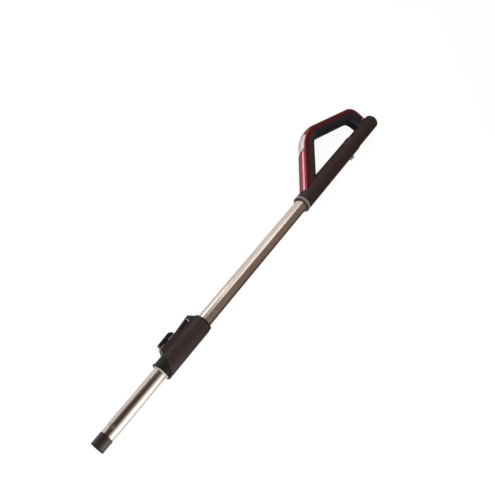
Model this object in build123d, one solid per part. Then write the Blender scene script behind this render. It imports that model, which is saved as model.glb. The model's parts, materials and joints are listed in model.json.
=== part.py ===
from build123d import *
from functools import cache
from math import cos, radians, sin, tan
import os

# A telescopic suction wand with a loop handle, lying on its side.
# +X runs along the wand from the tip to the hose end, +Y points to the loop, +Z is up.
# The origin is the centre of the tip's end face. All sizes are in millimetres.

# Lengths along the wand, from the tip to the hose end
tip_length = 28.0
inner_tube_show = 160.5
collar_length = 145.0
outer_tube_show = 435.0
sleeve_length = 295.5
neck_length = 122.0

# Tubes and tip
inner_tube_radius = 16.0
outer_tube_radius = 17.5
tube_wall = 0.8
inner_tube_length = 455.0
tube_reduction = 0.9
reduced_length = 14.0
reduction_taper = 8.0
tip_radius = 15.6
tip_bore_radius = 13.0
tip_plug_length = 22.0
tip_seal_width = 2.4
tip_chamfer = 1.0
slide_gap = 0.3
seat_gap = 0.1
guide_bush_length = 14.0
guide_flange = 1.6
guide_wall = 0.8

# Locking collar
collar_radius = 24.3
core_radius = 21.6
lip_radius = 23.4
lower_lip = 2.5
upper_lip = 4.0
lip_round = 0.8
bush_depth = 8.0
bush_nose = 2.0
bush_radius = 18.8
bush_lead = 1.0
cover_gap = 0.3
oblique_start = 17.5
oblique_slope = 0.5
saddle_start = 25.5
saddle_top = 33.0
saddle_base_half = 17.0
saddle_top_half = 11.0
saddle_slope = 7.0
saddle_sink = 2.0
arm_clear = 2.5
arm_back = 12.0
arm_rise = 3.6
arm_thickness = 3.4
recess_floor = 25.5
recess_web = 12.0
eye_length = 7.0
clip_length = 9.0
clip_barb = 5.0
clip_width = 26.0
cover_edge = 0.8
saddle_round = 2.5
saddle_shoulder = 5.0
arm_blend = 12.0
arm_corner = 2.0

# Slide button and lock
button_start = 36.5
button_length = 43.0
button_height = 10.2
button_width = 18.0
button_nose = 7.0
button_toe = 4.0
button_heel = 1.5
button_dip = 1.0
button_round = 1.2
button_ridges = 4
ridge_start = 8.0
ridge_pitch = 5.5
ridge_depth = 0.9
button_travel = 8.0
stem_length = 12.0
stem_width = 8.0
stem_offset = 19.5
keeper_length = 16.0
keeper_width = 12.4
keeper_depth = 2.6
keeper_roof = 2.6
roller_radius = 3.0
roller_length = 14.0
spring_wire = 0.45
wire_sides = 8
coil_steps = 14
spring_radius = 2.3
spring_pitch = 3.6
spring_room = 22.0

# Handle sleeve, neck and hose socket
sleeve_radius = 23.5
sleeve_wall = 2.6
neck_radius = 21.7
duct_radius = 18.4
duct_shoulder = 4.0
socket_radius = 19.0
socket_depth = 45.0
socket_ring_length = 6.0
rim_round = 1.5
tube_insert = 256.0
tube_grip = 24.0
tube_seal_length = 2.5
rib_count = 8
rib_width = 2.0
step_round = 0.8
mouth_flare = 1.1
mouth_ring_length = 7.0
mouth_ring_plug = 10.0
mouth_lip = 1.6
mouth_wall = 1.2
mouth_floor = 4.0

# Loop of the handle
apex_along = 185.4
apex_height = 138.6
strut_angle = 36.2
grip_angle = 16.4
leg_along = 398.0
strut_depth = 43.0
grip_depth = 37.0
leg_depth = 48.0
loop_width = 34.0
outer_bend = 105.0
inner_bend = 40.0
outer_crown = 32.0
inner_crown = 20.0
outer_bevel = 8.0
bevel_round = 7.0
inner_round = 9.0
strut_cover = 22.0
grip_cover = 18.0
cover_seam = 0.6
cover_foot = 27.0
cover_wall = 4.5
shell_wall = 7.5
grip_hollow = 180.0
back_seam = 0.1
pad_inset = 20.6
pad_start = 34.0
pad_thickness = 2.5
pad_foot = 26.0
root_height = 8.0

# Handle screws
screw_inset = 30.0
screw_strut_spots = (125.0, 74.0)
screw_bend_angle = 99.0
screw_bend_inset = 27.5
screw_leg_inset = 31.0
screw_leg_height = 50.0
screw_radius = 1.5
screw_head_radius = 3.0
screw_head_height = 2.0
screw_recess = 3.0
screw_grip = 8.0
cross_span = 4.0
cross_bar = 0.9
cross_depth = 0.8
boss_radius = 3.8

# Thumb switch in the cover
switch_drop = 0.9
switch_thickness = 6.5
switch_rim = 1.0
switch_side = 0.5
switch_half_width = 8.0
switch_from = 135.5
switch_to = 104.0
switch_slant = 6.0
switch_travel = 2.0
switch_stem_angle = 4.0
switch_stem_depth = 7.0
switch_floor = 3.0
switch_block_depth = 9.0
switch_block_angle = 16.0
switch_post_angle = 2.0
switch_end_gap = 0.4
switch_overrun = 0.4
switch_frame = 3.0
switch_margin = 2.0
switch_ridge = 0.7
switch_ridge_pitch = 2.4
switch_ridge_angle = 0.75
switch_ridge_count = 5

# Suction slider on the sleeve
slider_length = 38.0
slider_back = 1.8
slider_half_angle = 62.0
slider_wall = 2.0
slider_side_gap = 1.0
slider_flange = 0.8
slider_flange_angle = 4.0
slider_track = 0.5
slider_travel = 10.0
slider_rib = 0.7
slider_rib_width = 2.0
slider_ribs = 3
port_length = 7.0
port_width = 14.0
port_inset = 3.0

# Tube release on the back of the sleeve
release_from_end = 7.5
release_length = 14.0
release_width = 10.0
release_height = 5.4
release_round = 1.2
release_stem = 3.0
release_travel = 2.5
release_ribs = 3
release_rib_depth = 0.8
release_spring_radius = 3.9
release_spring_pitch = 2.4
release_seat = 1.0
latch_reach = 0.7
latch_head = 1.4
latch_waist = 1.5

# Stations worked out from the lengths above
collar_x = tip_length + inner_tube_show
collar_end = collar_x + collar_length
sleeve_x = collar_end + outer_tube_show
step_x = sleeve_x + sleeve_length
top_x = step_x + neck_length
inner_tube_end = tip_length + inner_tube_length
outer_tube_x = collar_x + bush_depth
outer_tube_end = sleeve_x + tube_insert
inner_bore = inner_tube_radius - tube_wall
outer_bore = outer_tube_radius - tube_wall
sleeve_bore = sleeve_radius - sleeve_wall
plug_radius = inner_bore - tube_reduction - seat_gap
cover_bore = core_radius + seat_gap
half_width = loop_width / 2
stem_x = collar_x + button_start + stem_offset
arm_start = button_start + button_length + button_travel + arm_clear
arm_end = collar_length - arm_back
roller_y = inner_tube_radius + slide_gap + roller_radius
release_x = outer_tube_end - release_from_end
apex = Vector(sleeve_x + apex_along, apex_height)
leg_x = sleeve_x + leg_along
rise = radians(strut_angle)
fall = radians(grip_angle)

# Reach of cutters that clear the whole part, overrun of cuts and roots past a face, and a test distance
big = 400.0
margin = 1.0
touch = 0.01


def turned(*corners):
    """Solid turned about the wand's axis from (station, radius) corners."""
    return revolve(make_face(Polyline(*corners, close=True)), Axis.X)


def rod(start, end, radius):
    return turned((start, 0), (end, 0), (end, radius), (start, radius))


def edged_rod(start, end, radius, edge):
    """Rod with a bevelled rim at its far end."""
    return turned((start, 0), (end, 0), (end, radius - edge), (end - edge, radius), (start, radius))


def ring(start, end, radius, bore):
    return turned((start, bore), (end, bore), (end, radius), (start, radius))


def block(x_span, y_span, z_span):
    """Box from the two ends of its spans."""
    size = [high - low for low, high in (x_span, y_span, z_span)]
    middle = [(high + low) / 2 for low, high in (x_span, y_span, z_span)]
    return Pos(*middle) * Box(*size)


def slab(corners, half):
    """Flat outline in the loop's plane, made as thick as twice its half width."""
    return extrude(make_face(Polyline(*corners, close=True)), half, both=True)


def on_axis_turn(solid, angle):
    return Rot(angle, 0, 0) * solid


def upright(low, high, radius):
    """Round bar along Z between two heights."""
    return Pos(0, 0, low) * Cylinder(radius, high - low, align=(Align.CENTER, Align.CENTER, Align.MIN))


def tip_spigot():
    """Plastic end ring with a plug that fits the tube."""
    end = tip_length + tip_plug_length
    return turned(
        (tip_seal_width, tip_bore_radius), (end, tip_bore_radius), (end, plug_radius),
        (tip_length, plug_radius), (tip_length, tip_radius - tip_chamfer / 2),
        (tip_length - tip_chamfer / 2, tip_radius), (tip_seal_width, tip_radius),
    )


def tip_seal():
    return turned(
        (0, tip_bore_radius), (tip_seal_width, tip_bore_radius), (tip_seal_width, tip_radius),
        (tip_chamfer, tip_radius), (0, tip_radius - tip_chamfer),
    )


def inner_tube():
    """Lower tube, drawn down a little where it takes the tip."""
    narrow = tip_length + reduced_length
    full = narrow + reduction_taper
    small = inner_tube_radius - tube_reduction
    return turned(
        (tip_length, small - tube_wall), (narrow, small - tube_wall), (full, inner_bore),
        (inner_tube_end, inner_bore), (inner_tube_end, inner_tube_radius), (full, inner_tube_radius),
        (narrow, small), (tip_length, small),
    )


def guide_bush():
    """Plastic ring clipped into the hidden end of the inner tube, which it guides in the outer one."""
    flange = outer_bore - slide_gap
    start = inner_tube_end - guide_bush_length
    end = inner_tube_end + guide_flange
    skirt = inner_bore - seat_gap
    return turned(
        (start, skirt - guide_wall), (end, skirt - guide_wall), (end, flange), (inner_tube_end, flange),
        (inner_tube_end, skirt), (start, skirt),
    )


def outer_tube():
    """Upper tube, with a window for the lock and a keyhole for the release button's stem."""
    tube = ring(outer_tube_x, outer_tube_end, outer_tube_radius, outer_bore)
    tube -= roller_window()
    tube -= Pos(release_x, -outer_tube_radius, 0) * Rot(90, 0, 0) * Cylinder(
        release_stem + slide_gap, outer_tube_radius)
    half = latch_waist + slide_gap
    return tube - block((release_x, outer_tube_end + margin), (-2 * outer_tube_radius, 0), (-half, half))


def lock_window(half, top):
    """Room for the roller or the button's stem over the button's whole travel."""
    reach = stem_length / 2 + slide_gap
    return block((stem_x - reach, stem_x + reach + button_travel), (0, top), (-half, half))


def roller_window():
    return lock_window(roller_length / 2 + slide_gap, roller_y + roller_radius + slide_gap)


def mouth_bush():
    """Pale slide bush that stands a little out of the collar's lower mouth."""
    bore = inner_tube_radius + slide_gap
    nose = collar_x - bush_nose
    return turned(
        (nose, bore + bush_lead), (nose + bush_lead, bore), (outer_tube_x, bore),
        (outer_tube_x, bush_radius - seat_gap),
        (nose + bush_nose / 2, bush_radius - seat_gap), (nose, bush_radius - bush_nose / 2),
    )


def collar_core():
    """Black sleeve on the end of the outer tube, with a lip at each end and two clips for the cover."""
    core = turned(
        (collar_x, bush_radius), (outer_tube_x, bush_radius), (outer_tube_x, outer_tube_radius + seat_gap),
        (collar_end, outer_tube_radius + seat_gap), (collar_end, lip_radius - lip_round),
        (collar_end - lip_round, lip_radius), (collar_end - upper_lip, lip_radius),
        (collar_end - upper_lip, core_radius), (collar_x + lower_lip, core_radius),
        (collar_x + lower_lip, lip_radius), (collar_x + lip_round, lip_radius),
        (collar_x, lip_radius - lip_round),
    )
    core -= roller_window()
    for start in (lower_clip_x(), upper_clip_x()):
        core += clip_barb_at(start)
    return core


def lower_clip_x():
    return collar_x + lower_lip + cover_gap


def upper_clip_x():
    return collar_end - upper_lip - cover_gap - clip_length


def clip_barb_at(start):
    """Broad barb on the core's far side, as round as the cover that it holds."""
    half = clip_width / 2 - cover_gap
    barb = ring(start, start + clip_barb, collar_radius, core_radius - margin)
    return barb & block((start, start + clip_barb), (-collar_radius, 0), (-half, half))


def saddle_outline():
    """Side view of the raised saddle and of the arm above its recess."""
    foot = collar_x + saddle_start
    arm_top = saddle_top + arm_rise
    return (
        (foot, 0), (foot, core_radius - saddle_sink), (foot + saddle_slope, saddle_top),
        (collar_x + arm_start, saddle_top), (collar_x + arm_end - arm_thickness, arm_top),
        (collar_x + arm_end, arm_top - arm_thickness), (collar_end - upper_lip - cover_gap, core_radius),
        (collar_end - upper_lip - cover_gap, 0),
    )


def saddle():
    """Saddle with leaning sides: its side view cut by its end view."""
    radii = [0, 0, saddle_shoulder, arm_blend, arm_corner, arm_corner, 0, 0]
    outline = FilletPolyline(*saddle_outline(), radius=radii, close=True)
    side = extrude(make_face(outline), saddle_base_half, both=True)
    top = saddle_top + arm_rise + margin
    lean = (saddle_base_half - saddle_top_half) / saddle_top
    top_half = saddle_base_half - lean * top
    end_view = Polyline((0, saddle_base_half), (top, top_half), (top, -top_half), (0, -saddle_base_half),
                        close=True)
    wedge = Pos(collar_x, 0, 0) * extrude(Plane.YZ * make_face(end_view), collar_length)
    body = side & wedge
    high = [edge for edge in body.edges() if edge.center().Y > core_radius - margin]
    crest = [edge for edge in high if abs(edge.center().Z) > saddle_top_half / 2]
    return fillet(crest, saddle_round)


def saddle_recess():
    """Recess in each side of the saddle, and the eye through its upper end."""
    start = collar_x + arm_start + arm_thickness
    eye = collar_x + arm_end - arm_thickness - eye_length
    roof = saddle_top - arm_thickness
    slope = arm_rise / (arm_end - arm_thickness - arm_start)
    end_roof = roof + slope * (eye + eye_length - start)
    pocket = slab(((start, recess_floor), (start, roof), (eye + eye_length, end_roof),
                   (eye + eye_length, recess_floor)), saddle_base_half)
    web = block((start, eye), (0, saddle_top + arm_rise), (-recess_web / 2, recess_web / 2))
    return pocket - web


def button_room():
    """Slot for the stem, and the room below it for the keeper and the spring."""
    slot = lock_window(stem_width / 2 + slide_gap, saddle_top + margin)
    half = keeper_width / 2 + slide_gap
    start = stem_x - keeper_length / 2 - slide_gap
    end = stem_x + keeper_length / 2 + spring_room
    room = block((start, end), (0, saddle_top - keeper_roof), (-half, half))
    return slot + room + roller_window()


def collar_cover():
    start = collar_x + lower_lip + cover_gap
    end = collar_end - upper_lip - cover_gap
    shell = edged_rod(start, end, collar_radius, cover_edge) + saddle()
    shell -= saddle_recess()
    shell -= button_room()
    shell -= rod(start - margin, end + margin, cover_bore)
    edge_x = collar_x + oblique_start
    shell -= slab(((edge_x - oblique_slope * big, -big), (edge_x + oblique_slope * big, big), (-big, big),
                   (-big, -big)), big)
    half = clip_width / 2
    for clip in (lower_clip_x(), upper_clip_x()):
        shell -= block((clip - cover_gap, clip + clip_length), (-2 * collar_radius, 0), (-half, half))
    return shell


def slide_button():
    """Thumb piece with grip ridges, its stem, and the keeper that holds it under the saddle's roof."""
    start = collar_x + button_start
    base = saddle_top + slide_gap
    top = base + button_height
    end = start + button_length
    cap = slab(((start, base), (start + button_heel, top - button_dip), (end - button_nose, top),
                (end, base + button_toe), (end, base)), button_width / 2)
    cap = fillet([edge for edge in cap.edges() if edge.center().Y > base + touch], button_round)
    for index in range(button_ridges):
        x = start + ridge_start + index * ridge_pitch
        cap -= block((x, x + ridge_pitch / 2), (top - 2 * ridge_depth, top + margin),
                     (-button_width, button_width))
    stem = block((stem_x - stem_length / 2, stem_x + stem_length / 2), (roller_y, base + margin),
                 (-stem_width / 2, stem_width / 2))
    roof = saddle_top - keeper_roof - slide_gap
    keeper = block((stem_x - keeper_length / 2, stem_x + keeper_length / 2), (roof - keeper_depth, roof),
                   (-keeper_width / 2, keeper_width / 2))
    cradle = Pos(stem_x, roller_y, 0) * Cylinder(roller_radius + seat_gap, roller_length)
    return cap + stem + keeper - cradle


def lock_roller():
    return Pos(stem_x, roller_y, 0) * Cylinder(roller_radius, roller_length)


def coil(length, radius, pitch):
    """Open compression spring along +Z from the origin, lofted from one wire section to the next."""
    climb = length - 2 * spring_wire
    steps = round(coil_steps * climb / pitch)
    section = Pos(radius, 0, spring_wire) * Rot(90, 0, 0) * RegularPolygon(spring_wire, wire_sides)
    turn = 360 * climb / pitch / steps
    rise_each = climb / steps
    return loft([Pos(0, 0, step * rise_each) * Rot(0, 0, step * turn) * section for step in range(steps + 1)],
                ruled=True)


def button_spring():
    start = stem_x + keeper_length / 2
    height = saddle_top - keeper_roof - slide_gap - keeper_depth / 2
    spring = coil(spring_room, spring_radius, spring_pitch)
    return Pos(start, height - spring_radius, 0) * Rot(0, 90, 0) * spring


def mouth_ring():
    """Grey bell at the sleeve's mouth, hollow round the tube, with a plug that fits the sleeve's bore."""
    front = sleeve_x - mouth_ring_length / 2
    back = front + mouth_ring_length
    floor = back + mouth_floor
    end = back + mouth_ring_plug
    rim = sleeve_radius + mouth_flare
    plug = sleeve_bore - seat_gap
    throat = outer_tube_radius + seat_gap
    return turned(
        (front, rim - mouth_lip), (front, rim - mouth_flare / 2), (front + mouth_flare, rim),
        (back - mouth_flare, rim - mouth_flare / 2), (back, sleeve_radius), (back, plug), (end, plug),
        (end, throat), (floor, throat), (floor, plug - mouth_wall), (back, plug - mouth_wall),
    )


def loop_corners(strut_inset, inset, leg_inset):
    """Corners of the loop's outline, moved inwards: strut foot, bend, crown and leg foot."""
    strut = apex + strut_inset * Vector(sin(rise), -cos(rise))
    grip = apex + inset * Vector(-sin(fall), -cos(fall))
    bend_x = (strut.X * tan(rise) + grip.X * tan(fall) + grip.Y - strut.Y) / (tan(rise) + tan(fall))
    bend = Vector(bend_x, strut.Y + (bend_x - strut.X) * tan(rise))
    crown_x = leg_x - leg_inset
    crown = Vector(crown_x, grip.Y - (crown_x - grip.X) * tan(fall))
    foot = Vector(strut.X - (strut.Y - root_height) / tan(rise), root_height)
    return foot, bend, crown, Vector(crown_x, root_height)


def loop_band(outer_inset, inner_strut, inner_inset, inner_leg, half, parallel=False):
    """Stretch of the loop between two insets; a parallel one follows the outer outline on both sides."""
    outer = loop_corners(outer_inset, outer_inset, outer_inset)
    inner = loop_corners(inner_strut, inner_inset, inner_leg)
    crown, bend = inner_crown + leg_depth - inner_leg, inner_bend + grip_depth - inner_inset
    if parallel:
        crown, bend = outer_crown - inner_leg, outer_bend - inner_inset
    radii = [0, outer_bend - outer_inset, outer_crown - outer_inset, 0, 0, crown, bend, 0]
    outline = FilletPolyline(*outer, *reversed(inner), radius=radii, close=True)
    return extrude(make_face(outline), half, both=True)


def loop_core(skin):
    """Whole loop, rounded inside, with a skin of this thickness taken off."""
    half = half_width - skin
    depths = (strut_depth - skin, grip_depth - skin, leg_depth - skin)
    solid = loop_band(skin, *depths, half)
    radii = [inner_bend + skin, inner_crown + skin]
    inner_path = FilletPolyline(*loop_corners(*depths), radius=radii)
    inside = [edge for edge in edges_at(solid, half) if rests_on(inner_path, edge)]
    return fillet(inside, inner_round - skin)


@cache
def loop_solid():
    """The loop in its final outline, with a soft bevel along the outside."""
    solid = loop_core(0)
    outside = [edge for edge in edges_at(solid, half_width) if rests_on(outer_path(0), edge)]
    solid = chamfer(outside, outer_bevel)
    ridges = [edge for edge in edges_at(solid, half_width) if rests_on(outer_path(outer_bevel), edge)]
    ridges += [edge for edge in edges_at(solid, half_width - outer_bevel) if rests_on(outer_path(0), edge)]
    return fillet(ridges, bevel_round)


def outer_path(inset):
    """Line along the outside of the loop, moved inwards."""
    radii = [outer_bend - inset, outer_crown - inset]
    return FilletPolyline(*loop_corners(inset, inset, inset), radius=radii)


def edges_at(solid, half):
    """Edges that lie in either of the two planes at this distance from the loop's mid plane."""
    return [edge for edge in solid.edges() if abs(abs((edge @ 0.5).Z) - half) < touch]


def rests_on(path, edge):
    spots = [edge @ share for share in (0.1, 0.5, 0.9)]
    return all(path.distance_to(Vector(spot.X, spot.Y, 0)) < touch for spot in spots)


def strut_point(along, inset):
    """Point on the strut, from the bend towards the foot and inwards from its outer face."""
    return apex + along * Vector(-cos(rise), -sin(rise)) + inset * Vector(sin(rise), -cos(rise))


def past_grip(along):
    """Everything further along the grip than this distance from the bend."""
    spot = apex + along * Vector(cos(fall), -sin(fall))
    return Pos(spot.X, spot.Y, 0) * Rot(0, 0, -grip_angle) * Box(
        big, big, big, align=(Align.MIN, Align.CENTER, Align.CENTER))


def bend_centre():
    """Centre of the arc that rounds the loop's outer bend."""
    turn = (rise + fall) / 2
    inward = Vector(-cos(rise) + cos(fall), -sin(rise) - sin(fall)).normalized()
    return apex + inward * (outer_bend / cos(turn))


def bend_point(radius, angle):
    """Point at this radius and angle in degrees about the centre of the bend."""
    return bend_centre() + radius * Vector(cos(radians(angle)), sin(radians(angle)))


def bend_sector(radius_out, radius_in, from_angle, to_angle, half):
    """Curved plate about the centre of the bend, between two angles in degrees."""
    centre = bend_centre()
    span = from_angle - to_angle
    outer = CenterArc((centre.X, centre.Y), radius_out, to_angle, span)
    inner = CenterArc((centre.X, centre.Y), radius_in, to_angle, span)
    edges = [outer, Line(outer @ 1, inner @ 1), inner, Line(inner @ 0, outer @ 0)]
    return extrude(make_face(edges), half, both=True)


def cover_zone(seam):
    """Outside of the loop from the strut's foot round to the leg's, widened by a seam."""
    depth = grip_cover + seam
    zone = loop_band(-outer_bevel, strut_cover + seam, depth, depth, big, parallel=True)
    return zone - block((apex.X, 2 * top_x), (-big, cover_foot - seam), (-big, big))


def loop_cavity():
    """Hollow of the strut and the grip, closed before the crown."""
    half = half_width - shell_wall
    depths = (strut_depth - shell_wall, grip_depth - shell_wall, leg_depth - shell_wall)
    hollow = loop_band(cover_wall, *depths, half)
    return hollow - past_grip(grip_hollow)


def pad_zone():
    depths = (strut_depth + margin, grip_depth + margin, leg_depth + margin)
    zone = loop_band(pad_inset, *depths, big) & past_grip(pad_start)
    return zone & block((0, 2 * top_x), (pad_foot, big), (-big, big))


@cache
def grip_pad():
    """Soft skin inside the grip and the leg, open over the leg's screw."""
    pad = (loop_solid() & pad_zone()) - loop_core(pad_thickness)
    return pad - screw_heads()


@cache
def dark_loop():
    """The loop without its cover and soft pad."""
    return loop_solid() - cover_zone(cover_seam) - grip_pad() - loop_cavity()


def screw_spots():
    spots = [strut_point(along, screw_inset) for along in screw_strut_spots]
    spots.append(bend_point(outer_bend - screw_bend_inset, screw_bend_angle))
    return spots + [Vector(leg_x - screw_leg_inset, screw_leg_height)]


def screw_heads():
    """Sunk rooms for the screw heads in the far side."""
    floor = screw_recess + screw_head_height - half_width
    room = upright(-half_width - margin, floor, screw_head_radius + seat_gap)
    return [Pos(spot.X, spot.Y, 0) * room for spot in screw_spots()]


def upper_half():
    return block((0, 2 * top_x), (-big, big), (0, big))


def handle_body():
    """Sleeve, neck and near half of the loop in one moulding, with ribs that centre the tube."""
    body = edged_rod(sleeve_x + mouth_ring_length / 2, step_x, sleeve_radius, step_round)
    body += rod(step_x, top_x - socket_ring_length, neck_radius)
    body += dark_loop() & upper_half()
    for spot in screw_spots():
        body += Pos(spot.X, spot.Y, 0) * upright(0, half_width - shell_wall + margin, boss_radius)
    body -= rod(sleeve_x, outer_tube_end - tube_grip, sleeve_bore)
    for index in range(rib_count):
        rib = block((sleeve_x + mouth_ring_length + mouth_ring_plug, outer_tube_end - tube_grip),
                    (outer_tube_radius - margin, sleeve_bore + margin), (-rib_width / 2, rib_width / 2))
        body += on_axis_turn(rib, (index + 0.5) * 360 / rib_count)
    body -= rod(sleeve_x, outer_tube_end + tube_seal_length, outer_tube_radius + seat_gap)
    body -= rod(outer_tube_end, top_x, outer_bore)
    body -= rod(outer_tube_end + tube_seal_length + duct_shoulder, top_x, duct_radius)
    body -= rod(top_x - socket_depth, top_x, socket_radius)
    body -= slider_seat()
    body -= air_port()
    body -= release_well()
    for spot in screw_spots():
        body -= Pos(spot.X, spot.Y, 0) * upright(-margin, screw_grip + seat_gap, screw_radius + seat_gap)
    return body


def handle_back():
    """Far half of the loop, seated on the sleeve and screwed to the near half."""
    lower = block((0, 2 * top_x), (-big, big), (-big, -back_seam))
    back = dark_loop() & lower
    back -= rod(sleeve_x - margin, step_x, sleeve_radius + back_seam)
    back -= rod(step_x, top_x, neck_radius + back_seam)
    for spot in screw_spots():
        back += Pos(spot.X, spot.Y, 0) * upright(shell_wall - half_width - margin, -back_seam, boss_radius)
    for spot in screw_spots():
        back -= Pos(spot.X, spot.Y, 0) * upright(-half_width, 0, screw_radius + seat_gap)
    return back - screw_heads()


def handle_screws():
    """Pan-head screws, put in from the far side."""
    top = screw_recess - half_width
    cross = Box(cross_span, cross_bar, 2 * cross_depth) + Box(cross_bar, cross_span, 2 * cross_depth)
    screw = upright(top, top + screw_head_height, screw_head_radius) + upright(top, screw_grip, screw_radius)
    screw -= Pos(0, 0, top) * cross
    return Compound(children=[(Pos(spot.X, spot.Y, 0) * screw).solid() for spot in screw_spots()])


def handle_cover():
    """Red gloss cover round the outside of the loop, with the seat of the thumb switch."""
    shell = loop_solid() & cover_zone(0)
    face = outer_bend - switch_drop - switch_thickness - slide_gap
    reach = switch_travel + switch_overrun
    low = switch_from + reach + switch_slant
    high = switch_to - switch_end_gap
    outside = outer_bend + 2 * outer_bevel
    bed = bend_sector(outside, face - switch_floor, low + switch_frame, high - switch_frame,
                      half_width - shell_wall + margin)
    cover = shell - loop_cavity() + (shell & bed)
    cover -= bend_sector(outside, face, low, high, big) - switch_tail(reach)
    middle = (switch_from + switch_to) / 2
    half_stem = switch_stem_angle / 2
    cover -= bend_sector(outer_bend, face - switch_floor - margin, middle + half_stem + reach,
                         middle - half_stem - switch_end_gap, switch_half_width / 2 + slide_gap)
    cover -= rod(sleeve_x - margin, step_x, sleeve_radius + cover_gap)
    return cover


def switch_tail(lag):
    """Everything past the switch's slanted lower end, or past a line some degrees behind it."""
    face = outer_bend - switch_drop
    high = bend_point(face, switch_from + lag)
    low = bend_point(face - switch_thickness, switch_from + lag - switch_slant)
    lean = high - low
    away = outer_bend * Vector(-sin(radians(switch_from)), cos(radians(switch_from)))
    return slab((high + 2 * lean, low - lean, low - lean + away, high + 2 * lean + away), big)


def thumb_switch():
    """Pale slider along the curve of the bend, bevelled like the loop, with a ridged patch and a stem."""
    face = outer_bend - switch_drop
    base = face - switch_thickness
    rim = base + switch_rim
    half = half_width - switch_side
    flat = half - switch_thickness + switch_rim
    radii = [0, 0, switch_rim, bevel_round, bevel_round, switch_rim]
    outline = FilletPolyline((base, -half), (base, half), (rim, half), (face, flat), (face, -flat),
                             (rim, -half), radius=radii, close=True)
    section = Rot(0, 0, switch_to) * (Plane.XZ * make_face(outline))
    centre = bend_centre()
    plate = Pos(centre.X, centre.Y, 0) * revolve(section, Axis.Z, switch_from - switch_to) - switch_tail(0)
    middle = (switch_from + switch_to) / 2
    half_stem = switch_stem_angle / 2
    for index in range(switch_ridge_count):
        first = middle + (index - (switch_ridge_count - 1) / 2) * switch_ridge_pitch + switch_ridge_angle / 2
        plate += bend_sector(face + switch_ridge, face - margin, first, first - switch_ridge_angle,
                             switch_half_width - switch_margin)
    return plate + bend_sector(face - margin, base - switch_stem_depth, middle + half_stem,
                               middle - half_stem, switch_half_width / 2)


def switch_block():
    """Switch body hung from the floor of the switch's seat by two posts."""
    floor = outer_bend - switch_drop - switch_thickness - slide_gap - switch_floor
    top = outer_bend - switch_drop - switch_thickness - switch_stem_depth - slide_gap
    middle = (switch_from + switch_to) / 2 + switch_travel / 2
    first = middle + switch_block_angle / 2
    last = middle - switch_block_angle / 2
    half = switch_half_width - switch_margin
    body = bend_sector(top, top - switch_block_depth, first, last, half)
    for angle in (first, last + switch_post_angle):
        body += bend_sector(floor, top - margin, angle, angle - switch_post_angle, half)
    return body


def sector_about_axis(start, end, radius, bore, half_angle):
    """Curved plate about the wand's axis, centred on the loop's side."""
    profile = make_face(Polyline((start, bore), (end, bore), (end, radius), (start, radius), close=True))
    return Rot(-half_angle, 0, 0) * revolve(profile, Axis.X, 2 * half_angle)


def slider_x():
    return step_x - slider_back - slider_length


def slider_seat():
    """Undercut track in the sleeve, run on into the neck, that holds the suction slider by its flanges."""
    start = slider_x() - slide_gap
    end = step_x - slider_back + slider_travel + slide_gap
    floor = neck_radius - slider_track
    half_angle = slider_half_angle + slider_side_gap
    track = sector_about_axis(start, end, sleeve_radius + margin, floor, half_angle)
    return track + sector_about_axis(start, end, floor + slider_flange + 2 * slide_gap, floor,
                                     half_angle + slider_flange_angle)


def suction_slider():
    """Curved plate that covers the air port, flanged along both sides, with cross ribs for the finger."""
    bore = neck_radius - slider_track + slide_gap
    start = slider_x()
    end = start + slider_length
    flanged = slider_half_angle + slider_flange_angle
    plate = sector_about_axis(start, end, bore + slider_wall, bore, slider_half_angle)
    plate += sector_about_axis(start, end, bore + slider_flange, bore, flanged)
    for index in range(slider_ribs):
        x = end - (2 * index + 2) * slider_rib_width
        plate += sector_about_axis(x, x + slider_rib_width / 2, bore + slider_wall + slider_rib,
                                   bore + margin, slider_half_angle / 2)
    return plate


def air_port():
    start = slider_x() + port_inset
    return block((start, start + port_length), (0, sleeve_radius), (-port_width / 2, port_width / 2))


def release_well():
    """Pocket that the release button sinks into, with a round seat for its spring and a guide hole."""
    reach = release_length / 2 + slide_gap
    side = release_width / 2 + slide_gap
    pocket = block((-reach, reach), (-side, side), (release_floor(), big))
    hole = upright(0, 2 * sleeve_radius, release_stem + slide_gap)
    seat = upright(release_floor() - release_seat, big, release_spring_radius + spring_wire + slide_gap)
    return Pos(release_x, 0, 0) * Rot(90, 0, 0) * (pocket + hole + seat)


def release_floor():
    return sleeve_radius - release_travel - slide_gap


def tube_release():
    """Ribbed button. Its head locks in the tube's keyhole until its waist is pressed in."""
    base = sleeve_radius
    cap = block((-release_length / 2, release_length / 2), (-release_width / 2, release_width / 2),
                (base, base + release_height))
    cap = fillet([edge for edge in cap.edges() if edge.center().Z > base + touch], release_round)
    for index in range(release_ribs):
        x = (index - (release_ribs - 1) / 2) * release_length / (release_ribs + 1)
        cap -= block((x - release_rib_depth, x + release_rib_depth), (-release_width, release_width),
                     (base + release_height - release_rib_depth, base + 2 * release_height))
    low = outer_bore - latch_reach
    shoulder = outer_tube_radius + release_travel + slide_gap
    stem = upright(low, low + latch_head, release_stem) + upright(low, base, latch_waist)
    stem += upright(shoulder, base + margin, release_stem)
    return Pos(release_x, 0, 0) * Rot(90, 0, 0) * (cap + stem)


def release_spring():
    seat = release_floor() - release_seat
    spring = Pos(0, 0, seat) * coil(sleeve_radius - seat, release_spring_radius, release_spring_pitch)
    return Pos(release_x, 0, 0) * Rot(90, 0, 0) * spring


def tube_seal():
    return ring(outer_tube_end, outer_tube_end + tube_seal_length, outer_tube_radius, outer_bore)


def socket_ring():
    """Rim of the hose socket."""
    start = top_x - socket_ring_length
    return turned(
        (start, socket_radius), (top_x - rim_round, socket_radius), (top_x, socket_radius + rim_round),
        (top_x, neck_radius - rim_round), (top_x - rim_round, neck_radius), (start, neck_radius),
    )


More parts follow.
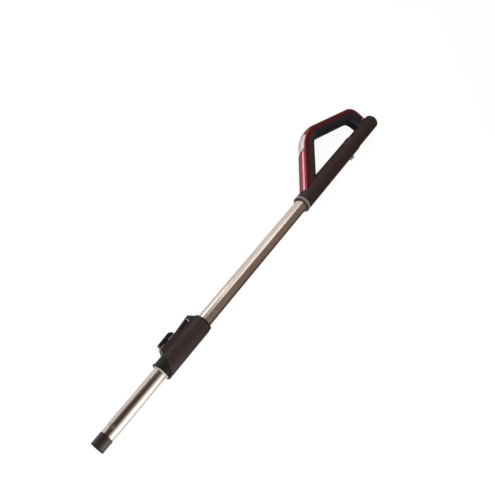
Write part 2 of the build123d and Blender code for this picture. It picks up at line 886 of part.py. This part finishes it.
pieces = (
    tip_spigot, tip_seal, inner_tube, guide_bush, outer_tube, mouth_bush, collar_core, collar_cover,
    slide_button, lock_roller, button_spring, mouth_ring, handle_body, handle_back, handle_screws,
    handle_cover, grip_pad, thumb_switch, switch_block, suction_slider, tube_release, release_spring,
    tube_seal, socket_ring,
)

os.makedirs("parts", exist_ok=True)
for piece in pieces:
    export_step(piece(), f"parts/{piece.__name__}.step")
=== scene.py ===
# %% [markdown]
# A telescopic suction wand with a loop handle
#
# The wand has two steel tubes that slide in each other, a locking collar with a thumb slider, and a
# moulded loop handle with a red gloss cover. Every rigid piece comes in as a fixed frame, at its real
# size and place and with its joints. It could all be modelled again from the photograph, but then two
# models would have to be kept alike. So this lesson dresses the frame, and makes again only what is soft
# or springy: the grip and the two return springs.

# %% Load the frame
import json
import math
import bpy
from mathutils import Matrix, Vector

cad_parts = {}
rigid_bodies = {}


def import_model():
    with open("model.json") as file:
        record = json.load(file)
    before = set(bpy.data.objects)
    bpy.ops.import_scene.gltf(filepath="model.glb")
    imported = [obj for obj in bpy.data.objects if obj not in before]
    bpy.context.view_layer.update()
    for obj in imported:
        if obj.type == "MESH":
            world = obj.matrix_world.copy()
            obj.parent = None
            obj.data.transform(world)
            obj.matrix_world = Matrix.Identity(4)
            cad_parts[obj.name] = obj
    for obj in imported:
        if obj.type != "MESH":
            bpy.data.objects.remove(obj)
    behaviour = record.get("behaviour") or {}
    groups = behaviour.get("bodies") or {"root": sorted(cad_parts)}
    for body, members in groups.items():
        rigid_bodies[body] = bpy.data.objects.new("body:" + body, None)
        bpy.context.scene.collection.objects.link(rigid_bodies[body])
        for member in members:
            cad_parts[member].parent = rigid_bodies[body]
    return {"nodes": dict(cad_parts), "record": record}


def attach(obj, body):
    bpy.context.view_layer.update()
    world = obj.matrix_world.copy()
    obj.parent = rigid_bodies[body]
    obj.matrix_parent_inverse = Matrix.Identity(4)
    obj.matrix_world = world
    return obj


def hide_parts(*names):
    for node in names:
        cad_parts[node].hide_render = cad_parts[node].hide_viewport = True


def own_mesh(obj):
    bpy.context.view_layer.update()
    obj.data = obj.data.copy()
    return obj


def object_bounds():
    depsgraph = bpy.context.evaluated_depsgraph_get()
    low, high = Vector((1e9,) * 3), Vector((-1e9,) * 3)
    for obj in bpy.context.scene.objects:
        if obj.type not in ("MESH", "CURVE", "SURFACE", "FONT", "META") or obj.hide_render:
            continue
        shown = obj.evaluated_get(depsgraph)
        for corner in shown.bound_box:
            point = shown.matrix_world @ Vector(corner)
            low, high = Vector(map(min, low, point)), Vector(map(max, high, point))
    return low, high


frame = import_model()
frame_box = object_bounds()
print("frame:", len(frame["nodes"]), "nodes,", [round(side, 3) for side in frame_box[1] - frame_box[0]], "m")

# %% [markdown]
# Camera
#
# The photograph looks down on the lying wand from above its tip, so that the tip is near and the handle
# far, and the picture is turned until the wand climbs to the right. A camera could be aimed with a Track
# To constraint, but the turn of the picture is easier to state as three axes: right, up and back. The
# tilt is how far it looks forward of straight down, and the spin is how far the picture is turned.

# %% Camera at the photograph's angle
tilt = math.radians(29.9)
spin = math.radians(40.9)
eye = Vector((-0.0609, 0.0342, 1.0724))
sensor_width = 36.0
lens = 36.364
forward = Vector((math.sin(tilt), 0, -math.cos(tilt)))
along = Vector((math.cos(tilt), 0, math.sin(tilt)))
across = Vector((0, -1, 0))
right = math.sin(spin) * along + math.cos(spin) * across
up = math.cos(spin) * along - math.sin(spin) * across
bpy.ops.object.select_all(action="DESELECT")
bpy.ops.object.camera_add()
camera = bpy.context.object
camera.matrix_world = Matrix.Translation(eye) @ Matrix((right, up, -forward)).transposed().to_4x4()
camera.data.sensor_width = sensor_width
camera.data.lens = lens
bpy.context.scene.camera = camera
bpy.context.scene.view_settings.view_transform = "Standard"
print("camera at", [round(value, 3) for value in camera.location])

# %% [markdown]
# Floor
#
# The wand lies on plain white ground that runs past the picture on every side. A studio would hang a
# curved backdrop, but this camera looks down and never sees its rise, so one large plane is enough. It
# lies at the wand's lowest point.

# %% Floor
floor_side = 40.0
bpy.ops.object.select_all(action="DESELECT")
bpy.ops.mesh.primitive_plane_add(size=floor_side, location=(0, 0, frame_box[0].z))
floor = bpy.context.object
floor.name = "studio_floor"
print("floor", floor_side, "m wide at", round(frame_box[0].z, 4), "m")

# %% [markdown]
# One look for each kind of ray
#
# A white floor that is lit until it clips would throw too much light on the wand. So the floor glows for
# the rays that only look at it, and is plain matt white for the light that it throws back. Two floors in
# two render layers could do that, but a mix shader that asks what kind of ray arrives does it in one
# material, and the room uses the same choice further on.

# %% One look for each kind of ray


def matt(tree, brightness):
    """Matt grey shader, which takes shadows and throws light back."""
    node = tree.nodes.new("ShaderNodeBsdfDiffuse")
    node.inputs["Color"].default_value = (brightness, brightness, brightness, 1)
    return node


def glow(tree, strength):
    """White glow, which looks the same under any lamp."""
    node = tree.nodes.new("ShaderNodeEmission")
    node.inputs["Strength"].default_value = strength
    return node


def pick(tree, kind, otherwise, shader):
    """One shader for one kind of ray, and another for the rest."""
    choice = tree.nodes.new("ShaderNodeMixShader")
    tree.links.new(tree.nodes.new("ShaderNodeLightPath").outputs[kind], choice.inputs[0])
    tree.links.new(otherwise, choice.inputs[1])
    tree.links.new(shader, choice.inputs[2])
    return choice.outputs[0]


print("shaders to pick from:", matt.__name__, "and", glow.__name__)

# %% [markdown]
# The floor in a mirror
#
# In the picture the lower tube and the outer side of the loop's strut mirror white ground, while the upper
# tube and the top bar of the red cover mirror something dark and brown. Brown cards on the floor could do
# that, but the camera would see them. So the floor's mirror image is a painted reflection, coloured by
# place: white near the tip and beside the strut, painted dark brown elsewhere, with a soft edge between
# them. Places are distances in metres: along the wand, out from its axis, and out from the strut's outer
# face.

# %% The floor in a mirror


def rise(tree, place, direction, start, end):
    """Number that rises from 0 to 1 as the place goes from start to end along one direction."""
    distance = tree.nodes.new("ShaderNodeVectorMath")
    distance.operation = "DOT_PRODUCT"
    distance.inputs[1].default_value = direction
    tree.links.new(place, distance.inputs[0])
    node = tree.nodes.new("ShaderNodeMapRange")
    node.inputs["From Min"].default_value = start
    node.inputs["From Max"].default_value = end
    tree.links.new(distance.outputs["Value"], node.inputs["Value"])
    return node.outputs["Result"]


def combine(tree, operation, first, second):
    """One number from two, such as their product or the larger of them."""
    node = tree.nodes.new("ShaderNodeMath")
    node.operation = operation
    tree.links.new(first, node.inputs[0])
    tree.links.new(second, node.inputs[1])
    return node.outputs["Value"]


strut_angle = math.radians(36.2)
strut_foot = 0.7645
strut_facing = (-math.sin(strut_angle), math.cos(strut_angle), 0)
strut_face = strut_facing[0] * strut_foot
print("strut faces", [round(value, 3) for value in strut_facing], "at", round(strut_face, 4), "m")

# %% [markdown]
# Where the mirror image is white
#
# Each number below is 1 where the floor's painted reflection is dark. The larger of two of them stays dim
# unless both agree that the place is beside the strut, and their product with the third lets the ground at
# the tip be white too. A painted mask could draw the same areas, but it would need an image.

# %% Where the mirror image is white
floor_glow = 0.9
# painted reflection: the dark brown that the steel and the red cover see in the floor away from the tip and
# the strut
painted_reflection_dim = (0.13, 0.09, 0.075)
white_until, dim_from = 0.18, 0.34
axis_white_from, axis_dim_until = 0.03, 0.01
strut_white_from, strut_dim_until = 0.026, 0.002
floor_white = bpy.data.materials.new("floor_white")
floor_white.use_nodes = True
floor_tree = floor_white.node_tree
floor_tree.nodes.remove(floor_tree.nodes["Principled BSDF"])
floor_place = floor_tree.nodes.new("ShaderNodeTexCoord").outputs["Object"]
past_tip = rise(floor_tree, floor_place, (1, 0, 0), white_until, dim_from)
near_axis = rise(floor_tree, floor_place, (0, 1, 0), axis_white_from, axis_dim_until)
within_strut = rise(
    floor_tree, floor_place, strut_facing, strut_face + strut_white_from, strut_face + strut_dim_until)
not_beside_strut = combine(floor_tree, "MAXIMUM", near_axis, within_strut)
# mask of the painted reflection: 1 where the floor is painted dark in the mirror image
painted_dimming = combine(floor_tree, "MULTIPLY", past_tip, not_beside_strut)
ramp = floor_tree.nodes.new("ShaderNodeValToRGB")
ramp.color_ramp.elements[0].color = (1, 1, 1, 1)
ramp.color_ramp.elements[1].color = (*painted_reflection_dim, 1)
floor_tree.links.new(painted_dimming, ramp.inputs["Fac"])
mirrored = glow(floor_tree, floor_glow)
floor_tree.links.new(ramp.outputs["Color"], mirrored.inputs["Color"])
print("mirror image white up to", white_until, "m from the tip, dim from", dim_from, "m")

# %% [markdown]
# Floor finish
#
# The camera sees the glow with a small matt share added to it, and that share keeps the wand's soft
# shadow. A glow alone would lose the shadow, and a matt floor alone would be grey. Glass would see the
# floor as the camera does, metal sees the mirror image, and everything else gets plain matt white.

# %% Floor finish
shadow_share = 0.2
matt_white = 0.8
seen = floor_tree.nodes.new("ShaderNodeAddShader")
floor_tree.links.new(glow(floor_tree, floor_glow).outputs[0], seen.inputs[0])
floor_tree.links.new(matt(floor_tree, shadow_share).outputs[0], seen.inputs[1])
surface = matt(floor_tree, matt_white).outputs[0]
surface = pick(floor_tree, "Is Glossy Ray", surface, mirrored.outputs[0])
surface = pick(floor_tree, "Is Transmission Ray", surface, seen.outputs[0])
surface = pick(floor_tree, "Is Camera Ray", surface, seen.outputs[0])
floor_tree.links.new(surface, floor_tree.nodes["Material Output"].inputs["Surface"])
floor.data.materials.append(floor_white)
print("floor glows at", floor_glow, "with a matt share of", shadow_share)

# %% [markdown]
# Room
#
# Polished tubes show what stands round them: in the photograph their dark bands are a dim warm room, and
# their pale bands are lamps and the white ground. A studio picture could wrap the scene, but no image is
# used here, so the room is one dim warm colour, white only for the camera itself where it looks past the
# floor.

# %% Room
room_colour = (0.26, 0.185, 0.15)
world = bpy.data.worlds.new("studio_room")
bpy.context.scene.world = world
world.use_nodes = True
room_tree = world.node_tree
room = room_tree.nodes["Background"]
room.inputs["Color"].default_value = (*room_colour, 1)
room.inputs["Strength"].default_value = 1.0
backdrop = room_tree.nodes.new("ShaderNodeBackground")
backdrop.inputs["Color"].default_value = (1, 1, 1, 1)
surface = pick(room_tree, "Is Camera Ray", room.outputs[0], backdrop.outputs[0])
room_tree.links.new(surface, room_tree.nodes["World Output"].inputs["Surface"])
print("room colour", room_colour)

# %% [markdown]
# Lamp tools
#
# The lamps are flat studio panels. Brightness is given as radiance, so that a panel keeps its look in the
# steel when its size is changed, and its power is worked out from that. A panel can fade towards one
# edge, like a cloth lit from one side, which gives the steel its soft bands. A glowing plane could do the
# same, but it is sampled less well than a lamp.

# %% Lamp tools


def soft_panel(name, middle, target, width, height, radiance, colour=(1, 1, 1)):
    """Flat studio lamp that faces a point. Its power follows from its size and how bright its face looks."""
    bpy.ops.object.select_all(action="DESELECT")
    bpy.ops.object.light_add(type="AREA", location=middle)
    lamp = bpy.context.object
    lamp.name = name
    lamp.data.shape = "RECTANGLE"
    lamp.data.size = width
    lamp.data.size_y = height
    lamp.data.color = colour
    lamp.data.energy = radiance * math.pi * width * height
    lamp.rotation_euler = (Vector(target) - Vector(middle)).to_track_quat("-Z", "Y").to_euler()
    lamp.visible_camera = False
    print(name, round(lamp.data.energy, 1), "W")
    return lamp


def fade(lamp, lower, upper):
    """Dims a lamp's face: its brightness at its lower and its upper edge, as shares of the whole."""
    lamp.data.use_nodes = True
    tree = lamp.data.node_tree
    place = tree.nodes.new("ShaderNodeSeparateXYZ")
    tree.links.new(tree.nodes.new("ShaderNodeNewGeometry").outputs["Parametric"], place.inputs[0])
    slope = tree.nodes.new("ShaderNodeMapRange")
    slope.interpolation_type = "SMOOTHSTEP"
    slope.inputs["To Min"].default_value = lower
    slope.inputs["To Max"].default_value = upper
    tree.links.new(place.outputs["Y"], slope.inputs["Value"])
    tree.links.new(slope.outputs["Result"], tree.nodes["Emission"].inputs["Strength"])
    print(lamp.name, "fades from", lower, "to", upper)


print("lamp tools:", soft_panel.__name__, "and", fade.__name__)

# %% [markdown]
# Lamps
#
# A tube that lies along X mirrors only what is further along X, so a key lamp behind the tip lights the
# plastics and leaves no stripe on the tubes. The stripes come from panels: a slanted one over the handle
# and a low one beside it for the upper tube, a narrow strip for the bevel of the red cover, and one on
# each side of the tip for the lower tube. One big soft box would be simpler, but it would give a single
# wide band.

# %% Lamps
soft_panel("key_lamp", middle=(-1.9, 0.7, 2.1), target=(0.5, 0, 0), width=2.6, height=2.6, radiance=2.4)
handle_panel = soft_panel(
    "handle_panel", middle=(1.5, 0.82, 1.25), target=(1.5, 0, 0), width=1.0, height=1.2, radiance=1.7)
fade(handle_panel, lower=0.5, upper=1.0)
soft_panel(
    "handle_glow", middle=(1.4, 1.3, 0.50), target=(1.4, 0, 0.50), width=1.6, height=0.82, radiance=0.8,
    colour=(0.95, 0.93, 1.0))
soft_panel(
    "bevel_strip", middle=(0.78, 1.29, 0.495), target=(0.78, 0, 0.495), width=0.4, height=0.22, radiance=7.0)
tip_glow = soft_panel(
    "tip_glow", middle=(0.25, 1.3, 0.3), target=(0.25, 0, 0.3), width=0.6, height=0.6, radiance=1.0,
    colour=(1.0, 0.97, 0.95))
fade(tip_glow, lower=1.0, upper=0.1)
tip_panel = soft_panel(
    "tip_panel", middle=(0.0, -0.8, 0.7), target=(0.1, 0, 0.15), width=1.0, height=1.7, radiance=3.2,
    colour=(0.94, 0.97, 1.0))
fade(tip_panel, lower=1.0, upper=0.04)

# %% [markdown]
# Black flag
#
# The lower tube has one dark band left of its middle. In a studio such a band is a black card, held where
# the tube mirrors it and the camera doesn't see it. A dark stripe painted on the steel would stay put
# when the wand is turned, so the card is the honest way.

# %% Black flag
flag_place = (0.15, 1.15, 1.6)
flag_size = (1.0, 2.5, 1)
flag_colour = (0.02, 0.014, 0.01)
flag_roughness = 0.9
bpy.ops.object.select_all(action="DESELECT")
bpy.ops.mesh.primitive_plane_add(size=1.0, location=flag_place)
flag = bpy.context.object
flag.name = "black_flag"
flag.scale = flag_size
bpy.ops.object.transform_apply(location=False, rotation=False, scale=True)
card_black = bpy.data.materials.new("card_black")
card_black.use_nodes = True
card_shader = card_black.node_tree.nodes["Principled BSDF"]
card_shader.inputs["Base Color"].default_value = (*flag_colour, 1)
card_shader.inputs["Roughness"].default_value = flag_roughness
flag.data.materials.append(card_black)
print("flag at", [round(value, 2) for value in flag.location])

# %% [markdown]
# Tools for the finishes
#
# Every finish below is built from the same few nodes: a noise over the object's own coordinates, a colour
# ramp, a range for the gloss and a bump for the grain. Pictures of real plastic and steel would need
# image files and unwrapped pieces. Noise in object space needs neither, and it keeps its real scale on
# every piece.

# %% Tools for the finishes


def new_finish(name):
    """Empty finish: the material, its node tree, its shader and the places on the object."""
    material = bpy.data.materials.new(name)
    material.use_nodes = True
    tree = material.node_tree
    place = tree.nodes.new("ShaderNodeTexCoord").outputs["Object"]
    return material, tree, tree.nodes["Principled BSDF"], place


def speckle(tree, place, grains, detail=2.0, stretch=(1, 1, 1)):
    """Noise with this many grains to the metre, drawn out along an axis where the stretch is small."""
    mapping = tree.nodes.new("ShaderNodeMapping")
    mapping.inputs["Scale"].default_value = stretch
    tree.links.new(place, mapping.inputs["Vector"])
    noise = tree.nodes.new("ShaderNodeTexNoise")
    noise.inputs["Scale"].default_value = grains
    noise.inputs["Detail"].default_value = detail
    tree.links.new(mapping.outputs["Vector"], noise.inputs["Vector"])
    return noise.outputs["Fac"]


def tint(tree, factor, dark, light, low=0.35, high=0.65):
    """Colour that runs from dark to light as the factor rises from low to high."""
    ramp = tree.nodes.new("ShaderNodeValToRGB")
    for element, position, colour in zip(ramp.color_ramp.elements, (low, high), (dark, light)):
        element.position = position
        element.color = (*colour, 1)
    tree.links.new(factor, ramp.inputs["Fac"])
    return ramp.outputs["Color"]


noise_low, noise_high = 0.3, 0.7


def spread(tree, factor, low, high):
    """Number that runs from low to high over the middle of a noise."""
    node = tree.nodes.new("ShaderNodeMapRange")
    node.inputs["From Min"].default_value = noise_low
    node.inputs["From Max"].default_value = noise_high
    node.inputs["To Min"].default_value = low
    node.inputs["To Max"].default_value = high
    tree.links.new(factor, node.inputs["Value"])
    return node.outputs["Result"]


def relief(tree, shader, height, depth, strength):
    """Fine surface relief, with its depth in metres."""
    bump = tree.nodes.new("ShaderNodeBump")
    bump.inputs["Strength"].default_value = strength
    bump.inputs["Distance"].default_value = depth
    tree.links.new(height, bump.inputs["Height"])
    tree.links.new(bump.outputs["Normal"], shader.inputs["Normal"])


finishes = {}
print("finish tools:", ", ".join(tool.__name__ for tool in (speckle, tint, spread, relief)))

# %% [markdown]
# Steel
#
# The tubes are drawn through a die and polished, which leaves hair lines along their length and a warm
# champagne tint. An anisotropic shader could bend the gloss, but it needs a direction map on each piece.
# Noise drawn out along X gives the same hair lines in gloss and relief, and a broad soft noise clouds the
# tint. Springs, screws and the lock roller are plain bright steel with a small grain all ways.

# %% Steel


def drawn_steel():
    """Champagne steel with hair lines along X."""
    material, tree, shader, place = new_finish("drawn_steel")
    lines = speckle(tree, place, grains=2600, stretch=(0.004, 1, 1))
    clouds = speckle(tree, place, grains=14, detail=3.0)
    colour = tint(tree, clouds, dark=(0.60, 0.54, 0.48), light=(0.66, 0.60, 0.54))
    tree.links.new(colour, shader.inputs["Base Color"])
    tree.links.new(spread(tree, lines, low=0.2, high=0.26), shader.inputs["Roughness"])
    shader.inputs["Metallic"].default_value = 1.0
    relief(tree, shader, lines, depth=0.000003, strength=0.06)
    return material


def bright_steel():
    """Plain grey steel with a fine grain."""
    material, tree, shader, place = new_finish("bright_steel")
    grain = speckle(tree, place, grains=900, detail=3.0)
    colour = tint(tree, grain, dark=(0.42, 0.42, 0.43), light=(0.56, 0.56, 0.57))
    tree.links.new(colour, shader.inputs["Base Color"])
    tree.links.new(spread(tree, grain, low=0.2, high=0.38), shader.inputs["Roughness"])
    shader.inputs["Metallic"].default_value = 1.0
    relief(tree, shader, grain, depth=0.00002, strength=0.3)
    return material


finishes["champagne_steel"] = drawn_steel()
finishes["spring_steel"] = bright_steel()
print("steels:", ", ".join(finishes))

# %% [markdown]
# Moulded plastics
#
# The handle, the collar and the buttons are moulded in tools with a fine spark-eroded grain. Each could
# have a material built by hand, but one recipe serves them all, with two close colours, a grain size and
# a range of gloss. Handling polishes the grain in patches, so a second, larger noise moves the gloss.

# %% Moulded plastics


def moulded(name, dark, light, grains, depth, gloss, shine=0.5):
    """Grained plastic between two colours, with gloss as its lowest and highest roughness."""
    material, tree, shader, place = new_finish(name)
    grain = speckle(tree, place, grains)
    patches = speckle(tree, place, grains=35, detail=3.0)
    tree.links.new(tint(tree, grain, dark, light, low=0.25, high=0.75), shader.inputs["Base Color"])
    tree.links.new(spread(tree, patches, *gloss), shader.inputs["Roughness"])
    shader.inputs["Specular IOR Level"].default_value = shine
    relief(tree, shader, grain, depth, strength=0.6)
    return material


finishes["brown_plastic"] = moulded(
    "brown_grain", dark=(0.029, 0.017, 0.017), light=(0.043, 0.026, 0.025),
    grains=1500, depth=0.00005, gloss=(0.44, 0.58), shine=0.27)
finishes["slider_plastic"] = moulded(
    "slider_grain", dark=(0.046, 0.030, 0.028), light=(0.064, 0.043, 0.041),
    grains=1900, depth=0.00003, gloss=(0.4, 0.52), shine=0.35)
finishes["black_plastic"] = moulded(
    "black_grain", dark=(0.006, 0.005, 0.006), light=(0.011, 0.010, 0.010),
    grains=1700, depth=0.00004, gloss=(0.42, 0.58), shine=0.25)
finishes["grey_plastic"] = moulded(
    "grey_grain", dark=(0.25, 0.24, 0.222), light=(0.32, 0.31, 0.29),
    grains=1700, depth=0.00004, gloss=(0.34, 0.46))
# The pale switch is a pale part, and its colour is set lighter than that tone to stand in for the highlight
# on it: partly painted highlight.
finishes["pale_plastic"] = moulded(
    "pale_grain_and_highlight", dark=(0.70, 0.67, 0.64), light=(0.77, 0.74, 0.71),
    grains=2400, depth=0.00002, gloss=(0.24, 0.36))
print("plastics:", ", ".join(slot for slot in finishes if slot.endswith("plastic")))

# %% [markdown]
# Red gloss of the cover
#
# The cover is sprayed: a deep red with fine metal flake under a clear lacquer. The flake could be
# modelled as specks, but at about a third of a millimetre it only has to sparkle, so small cells with a
# shade each stand for it, and the shader's coat is the lacquer.

# %% Red gloss of the cover
flakes_to_the_metre = 3200


def flake_red():
    """Deep red metal flake under a clear coat."""
    material, tree, shader, place = new_finish("flake_red")
    cells = tree.nodes.new("ShaderNodeTexVoronoi")
    cells.inputs["Scale"].default_value = flakes_to_the_metre
    tree.links.new(place, cells.inputs["Vector"])
    colour = tint(
        tree, cells.outputs["Color"], dark=(0.13, 0.002, 0.012), light=(0.22, 0.005, 0.023),
        low=0.2, high=0.8)
    tree.links.new(colour, shader.inputs["Base Color"])
    haze = speckle(tree, place, grains=60, detail=3.0)
    tree.links.new(spread(tree, haze, low=0.26, high=0.34), shader.inputs["Roughness"])
    shader.inputs["Metallic"].default_value = 1.0
    shader.inputs["Coat Weight"].default_value = 1.0
    shader.inputs["Coat Roughness"].default_value = 0.04
    return material


finishes["red_gloss"] = flake_red()
print("red flake of", round(1000 / flakes_to_the_metre, 2), "mm")

# %% [markdown]
# Grip and seals
#
# The inside of the grip is a blue-black overmould with a close, almost glossy skin. The seals are plain
# black rubber, duller and coarser. A scanned leather or rubber pattern would be too strong for either.
# Both take their relief from noise, which is enough for a skin without a pattern.

# %% Grip and seals


def soft_skin(name, dark, light, grains, depth, gloss, shine=0.36):
    """Rubber skin between two colours, worn in patches, with gloss as its lowest and highest roughness."""
    material, tree, shader, place = new_finish(name)
    skin = speckle(tree, place, grains, detail=3.0)
    wear = speckle(tree, place, grains=28, detail=3.0)
    tree.links.new(tint(tree, skin, dark, light), shader.inputs["Base Color"])
    tree.links.new(spread(tree, wear, *gloss), shader.inputs["Roughness"])
    shader.inputs["Specular IOR Level"].default_value = shine
    relief(tree, shader, skin, depth, strength=0.5)
    return material


finishes["soft_grip"] = soft_skin(
    "grip_skin", dark=(0.006, 0.009, 0.016), light=(0.010, 0.014, 0.024),
    grains=1300, depth=0.00004, gloss=(0.26, 0.38))
finishes["seal_rubber"] = soft_skin(
    "seal_skin", dark=(0.008, 0.008, 0.008), light=(0.014, 0.014, 0.014),
    grains=800, depth=0.00006, gloss=(0.5, 0.7))
print("finishes:", ", ".join(sorted(finishes)))

# %% [markdown]
# Dressing the frame
#
# Each piece of the frame names its finish in the record, so one loop can hand the finishes out. They
# could be assigned one by one, but doing it by name keeps a repaint simple: a slot changes in one place
# and every piece that uses it follows. Two pieces differ from the rest of their slot. The tip is polished
# by the floor heads that are pushed over it, so it has a closer gloss, and the small release button is
# paler than the ring at the handle's mouth.

# %% Dressing the frame
own_finish = {
    "tip_spigot": moulded(
        "tip_polish", dark=(0.026, 0.015, 0.015), light=(0.038, 0.022, 0.022),
        grains=1500, depth=0.00002, gloss=(0.22, 0.34)),
    "tube_release": moulded(
        "release_grain", dark=(0.42, 0.405, 0.385), light=(0.50, 0.485, 0.465),
        grains=1700, depth=0.00003, gloss=(0.32, 0.44)),
}
for part in frame["record"]["subparts"]:
    node = frame["nodes"][part["node"]]
    node.data.materials.clear()
    node.data.materials.append(own_finish.get(part["node"], finishes[part["material_slot"]]))

# %% [markdown]
# Copies to work on
#
# A piece of the frame may be dressed but not reshaped. What has to change its shape starts as a copy. It
# could be modelled from a box, but its edges have to follow its neighbours, and a copy does so already.
# The frame's meshes are loose triangles, so a copy is merged before anything else is done to it.

# %% Copies to work on
merge_distance = 0.000005


def merged_copy(node_name, piece_name):
    """Copy of one piece of the frame as a closed mesh, at rest and free of the frame."""
    bpy.ops.object.select_all(action="DESELECT")
    node = frame["nodes"][node_name]
    node.select_set(True)
    bpy.context.view_layer.objects.active = node
    bpy.ops.object.duplicate()
    piece = bpy.context.object
    piece.name = piece_name
    bpy.ops.object.parent_clear(type="CLEAR_KEEP_TRANSFORM")
    bpy.ops.object.transform_apply(location=True, rotation=True, scale=True)
    bpy.ops.mesh.customdata_custom_splitnormals_clear()
    bpy.ops.object.mode_set(mode="EDIT")
    bpy.ops.mesh.select_all(action="SELECT")
    bpy.ops.mesh.remove_doubles(threshold=merge_distance)
    bpy.ops.object.mode_set(mode="OBJECT")
    print(piece_name, "copied:", len(piece.data.vertices), "points")
    return piece


print("copies merge points closer than", merge_distance * 1000, "mm")

# %% [markdown]
# Soft grip
#
# The inside of the loop is a solid rubber skin, moulded over the hard shell, and its edges are soft. A
# bevel could round them, but it needs long clean edges, and a copied mesh has many short ones. Rebuilding
# the copy in small even faces and smoothing them rounds every edge by about a millimetre, and leaves the
# fine parting line that an overmould shows where it meets the shell.

# %% Soft grip
even_face = 0.0008
smoothing = 0.5
smoothing_rounds = 8
soft_grip = merged_copy("grip_pad", "soft_grip")
for kind, name in (("REMESH", "even_faces"), ("SMOOTH", "soft_edges")):
    bpy.ops.object.modifier_add(type=kind)
    soft_grip.modifiers[-1].name = name
soft_grip.modifiers["even_faces"].mode = "VOXEL"
soft_grip.modifiers["even_faces"].voxel_size = even_face
soft_grip.modifiers["soft_edges"].factor = smoothing
soft_grip.modifiers["soft_edges"].iterations = smoothing_rounds
for name in ("even_faces", "soft_edges"):
    bpy.ops.object.modifier_apply(modifier=name)
bpy.ops.object.shade_smooth()
soft_grip.data.materials.clear()
soft_grip.data.materials.append(finishes["soft_grip"])
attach(soft_grip, "wand")
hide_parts("grip_pad")
print("soft grip:", len(soft_grip.data.polygons), "faces")

# %% [markdown]
# Return springs
#
# A return spring stands behind the slide button and another under the release button. A stiff coil would
# poke through the button that presses it. A coil could be wound anew for each pose, or squeezed towards its
# fixed end as its button travels; here each one is only replaced by a merged, smoothly shaded copy that
# rides with the wand.

# %% Return springs
smooth_below = math.radians(50)


def springy(node_name):
    """Smooth copy of a coil that rides with the wand in place of the frame's own."""
    coil = merged_copy(node_name, node_name + "_coil")
    bpy.ops.object.shade_smooth_by_angle(angle=smooth_below)
    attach(coil, "wand")
    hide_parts(node_name)
    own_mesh(coil)


springy("button_spring")
springy("release_spring")
